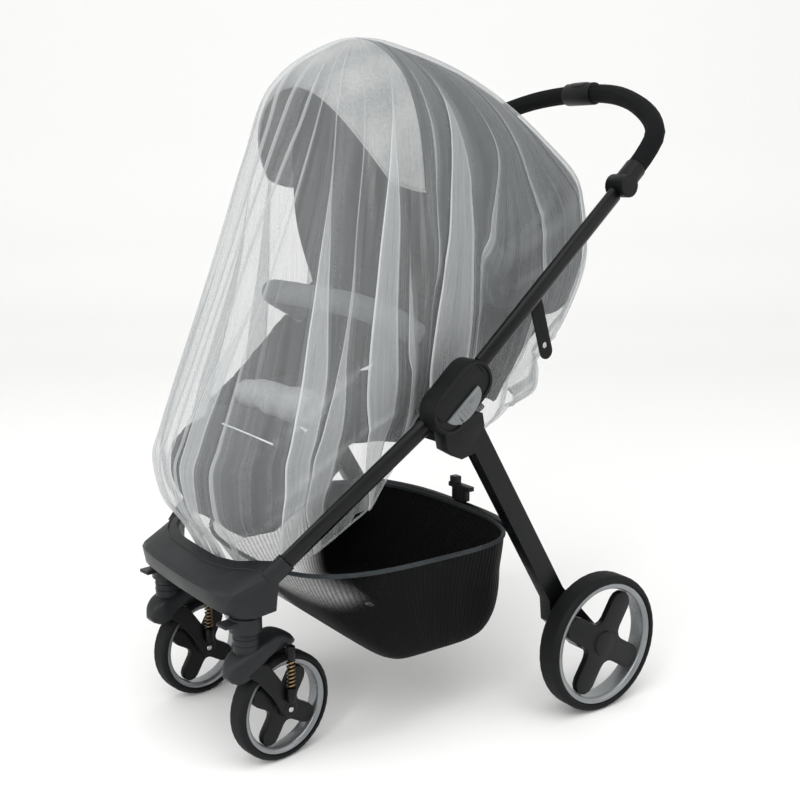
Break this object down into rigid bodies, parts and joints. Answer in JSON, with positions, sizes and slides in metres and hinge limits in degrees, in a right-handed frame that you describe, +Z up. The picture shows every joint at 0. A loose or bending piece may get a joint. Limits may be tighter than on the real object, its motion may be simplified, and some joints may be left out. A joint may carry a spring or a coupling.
{
  "type": "stroller mosquito net on a plain stroller",
  "caption": "Sheer white mosquito net hung over the hood, seat and foot rest of a four-wheeled stroller and gathered at an elastic hem.",
  "frame": {"origin": "on the floor, below the middle of the bounding box", "axes": "+X from the foot end towards the push handle, +Z up, +Y across"},
  "size_m": [0.8392, 0.6134, 1.068],
  "materials": {
    "net": "sheer woven mesh",
    "visor": "heather weave",
    "hood": "plain weave",
    "seat": "plain weave",
    "seat_pale": "plain weave",
    "bag": "ribbed mesh and webbing",
    "frame": "satin black",
    "plastic": "fine grain",
    "grey_plastic": "fine grain",
    "foam": "closed foam",
    "tyre": "matt",
    "rim": "silver coated",
    "spring": "bright wire",
    "reflector": "ribbed lens"
  },
  "bodies": {
    "root": {"mosquito_net": "net", "visor": "visor", "hood": "hood", "basket": "bag", "seat_back": "seat", "seat_base": "seat", "leg_rest": "seat", "seat_roll": "seat_pale", "bumper_bar": "seat", "crossbar": "frame", "crossbar_lever": "plastic", "strap": "bag", "bridge": "grey_plastic", "handle_sleeve": "plastic", "near_seat_wing": "seat", "near_hub": "plastic", "near_reflector": "reflector", "near_upper_tube": "frame", "near_lower_tube": "frame", "near_leg": "frame", "near_seat_mount": "plastic", "near_hinge": "plastic", "near_grip": "foam", "near_rear_tyre": "tyre", "near_rear_rim": "rim", "near_rear_cover": "plastic", "near_fork": "grey_plastic", "near_spring": "spring", "near_collar": "grey_plastic", "near_front_tyre": "tyre", "near_front_rim": "rim", "near_front_cover": "plastic", "far_seat_wing": "seat", "far_hub": "plastic", "far_reflector": "reflector", "far_upper_tube": "frame", "far_lower_tube": "frame", "far_leg": "frame", "far_seat_mount": "plastic", "far_hinge": "plastic", "far_grip": "foam", "far_rear_tyre": "tyre", "far_rear_rim": "rim", "far_rear_cover": "plastic", "far_fork": "grey_plastic", "far_spring": "spring", "far_collar": "grey_plastic", "far_front_tyre": "tyre", "far_front_rim": "rim", "far_front_cover": "plastic"}
  },
  "joints": []
}
